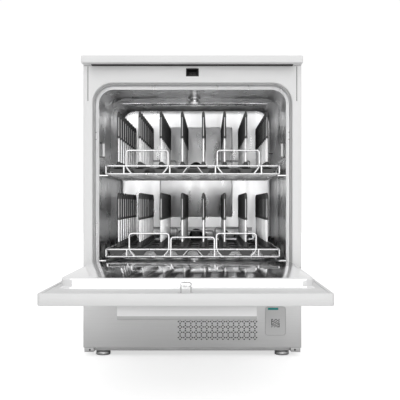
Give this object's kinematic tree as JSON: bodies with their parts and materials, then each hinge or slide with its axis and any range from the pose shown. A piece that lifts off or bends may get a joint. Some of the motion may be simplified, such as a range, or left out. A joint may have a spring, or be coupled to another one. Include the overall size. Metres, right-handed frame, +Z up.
{
  "type": "laboratory glassware washer",
  "caption": "Undercounter laboratory glassware washer with a bottom-hinged door, sliding injector racks, spray arms and levelling feet.",
  "frame": {"origin": "centre of the footprint with the door open, on the floor", "axes": "+Z up, the door opens towards -Y, +X to the right of someone facing the door"},
  "size_m": [0.612, 1.3222, 0.835],
  "materials": {
    "lid": "satin light grey",
    "frame_steel": "satin",
    "panel_steel": "brushed",
    "chamber_steel": "polished",
    "liner_steel": "mirror polished",
    "rack_wire": "electropolished",
    "rack_tray": "satin dark grey",
    "injector": "bright with dark grey sleeves",
    "wheel": "satin",
    "black_trim": "satin black",
    "display": "gloss black",
    "button": "satin",
    "seal": "matte",
    "foot": "satin zinc",
    "pump": "cast, painted dark",
    "control_case": "matte"
  },
  "bodies": {
    "cabinet": {"top_plate": "lid", "side_panel_left": "panel_steel", "side_panel_right": "panel_steel", "rear_panel": "panel_steel", "front_frame": "frame_steel", "lock_housing": "black_trim", "chamber": "chamber_steel", "door_gasket": "seal", "lower_panel": "panel_steel", "base_pan": "panel_steel", "foot_front_left": "foot", "foot_front_right": "foot", "foot_rear_left": "foot", "foot_rear_right": "foot", "upper_rail_left": "chamber_steel", "upper_rail_right": "chamber_steel", "hinge_bracket_left": "panel_steel", "hinge_bracket_right": "panel_steel", "sump_filter": "chamber_steel", "sump_heater": "chamber_steel", "wash_pump": "pump", "drain_pump": "pump", "control_box": "control_case"},
    "door": {"door_shell": "frame_steel", "door_liner": "liner_steel", "door_striker": "rack_wire", "door_handle": "frame_steel", "control_panel": "display"},
    "power_button": {"power_button": "button"},
    "start_button": {"start_button": "button"},
    "top_spray_arm": {"top_spray_arm": "chamber_steel"},
    "bottom_spray_arm": {"bottom_spray_arm": "chamber_steel"},
    "lower_rack": {"lower_rack_frame": "rack_wire", "lower_rack_tray": "rack_tray", "lower_injector_row_1": "injector", "lower_injector_row_2": "injector", "lower_injector_row_3": "injector", "lower_injector_row_4": "injector", "lower_injector_row_5": "injector", "lower_injector_row_6": "injector", "lower_injector_row_7": "injector", "lower_injector_row_8": "injector"},
    "upper_rack": {"upper_rack_frame": "rack_wire", "upper_rack_tray": "rack_tray", "upper_injector_row_1": "injector", "upper_injector_row_2": "injector", "upper_injector_row_3": "injector", "upper_injector_row_4": "injector", "upper_injector_row_5": "injector", "upper_injector_row_6": "injector", "upper_injector_row_7": "injector", "upper_injector_row_8": "injector"},
    "wheel_left_1": {"lower_wheel_left_1": "wheel"},
    "wheel_left_2": {"lower_wheel_left_2": "wheel"},
    "wheel_left_3": {"lower_wheel_left_3": "wheel"},
    "wheel_left_4": {"lower_wheel_left_4": "wheel"},
    "wheel_right_1": {"lower_wheel_right_1": "wheel"},
    "wheel_right_2": {"lower_wheel_right_2": "wheel"},
    "wheel_right_3": {"lower_wheel_right_3": "wheel"},
    "wheel_right_4": {"lower_wheel_right_4": "wheel"}
  },
  "joints": [
    {"name": "door_hinge", "type": "hinge", "parent": "cabinet", "child": "door", "pos_m": [0, -0.08015, 0.23], "axis": [-1, 0, 0], "range_deg": [0, 90]},
    {"name": "lower_rack_slide", "type": "slide", "parent": "cabinet", "child": "lower_rack", "axis": [0, 1, 0], "range_m": [-0.45, 0]},
    {"name": "upper_rack_slide", "type": "slide", "parent": "cabinet", "child": "upper_rack", "axis": [0, 1, 0], "range_m": [-0.4, 0]},
    {"name": "top_spray_arm_spin", "type": "hinge", "parent": "cabinet", "child": "top_spray_arm", "pos_m": [0, 0.25015, 0.747], "axis": [0, 0, 1], "continuous": true},
    {"name": "bottom_spray_arm_spin", "type": "hinge", "parent": "cabinet", "child": "bottom_spray_arm", "pos_m": [0, 0.25015, 0.251], "axis": [0, 0, 1], "continuous": true},
    {"name": "power_button_press", "type": "slide", "parent": "door", "child": "power_button", "axis": [0, 0, 1], "range_m": [0, 0.0015], "stiffness_N_per_m": 300},
    {"name": "start_button_press", "type": "slide", "parent": "door", "child": "start_button", "axis": [0, 0, 1], "range_m": [0, 0.0015], "stiffness_N_per_m": 300},
    {"name": "wheel_left_1_spin", "type": "hinge", "parent": "lower_rack", "child": "wheel_left_1", "pos_m": [-0.2575, 0.00815, 0.2896], "axis": [1, 0, 0], "range_deg": [-1500, 1500]},
    {"name": "wheel_left_2_spin", "type": "hinge", "parent": "lower_rack", "child": "wheel_left_2", "pos_m": [-0.2575, 0.13215, 0.2896], "axis": [1, 0, 0], "range_deg": [-1500, 1500]},
    {"name": "wheel_left_3_spin", "type": "hinge", "parent": "lower_rack", "child": "wheel_left_3", "pos_m": [-0.2575, 0.35815, 0.2896], "axis": [1, 0, 0], "range_deg": [-1500, 1500]},
    {"name": "wheel_left_4_spin", "type": "hinge", "parent": "lower_rack", "child": "wheel_left_4", "pos_m": [-0.2575, 0.48215, 0.2896], "axis": [1, 0, 0], "range_deg": [-1500, 1500]},
    {"name": "wheel_right_1_spin", "type": "hinge", "parent": "lower_rack", "child": "wheel_right_1", "pos_m": [0.2575, 0.00815, 0.2896], "axis": [1, 0, 0], "range_deg": [-1500, 1500]},
    {"name": "wheel_right_2_spin", "type": "hinge", "parent": "lower_rack", "child": "wheel_right_2", "pos_m": [0.2575, 0.13215, 0.2896], "axis": [1, 0, 0], "range_deg": [-1500, 1500]},
    {"name": "wheel_right_3_spin", "type": "hinge", "parent": "lower_rack", "child": "wheel_right_3", "pos_m": [0.2575, 0.35815, 0.2896], "axis": [1, 0, 0], "range_deg": [-1500, 1500]},
    {"name": "wheel_right_4_spin", "type": "hinge", "parent": "lower_rack", "child": "wheel_right_4", "pos_m": [0.2575, 0.48215, 0.2896], "axis": [1, 0, 0], "range_deg": [-1500, 1500]}
  ],
  "couplings": [
    {"joint": "wheel_left_1_spin", "follows": "lower_rack_slide", "rad_per_m": -43.478},
    {"joint": "wheel_left_2_spin", "follows": "lower_rack_slide", "rad_per_m": -43.478},
    {"joint": "wheel_left_3_spin", "follows": "lower_rack_slide", "rad_per_m": -43.478},
    {"joint": "wheel_left_4_spin", "follows": "lower_rack_slide", "rad_per_m": -43.478},
    {"joint": "wheel_right_1_spin", "follows": "lower_rack_slide", "rad_per_m": -43.478},
    {"joint": "wheel_right_2_spin", "follows": "lower_rack_slide", "rad_per_m": -43.478},
    {"joint": "wheel_right_3_spin", "follows": "lower_rack_slide", "rad_per_m": -43.478},
    {"joint": "wheel_right_4_spin", "follows": "lower_rack_slide", "rad_per_m": -43.478}
  ]
}
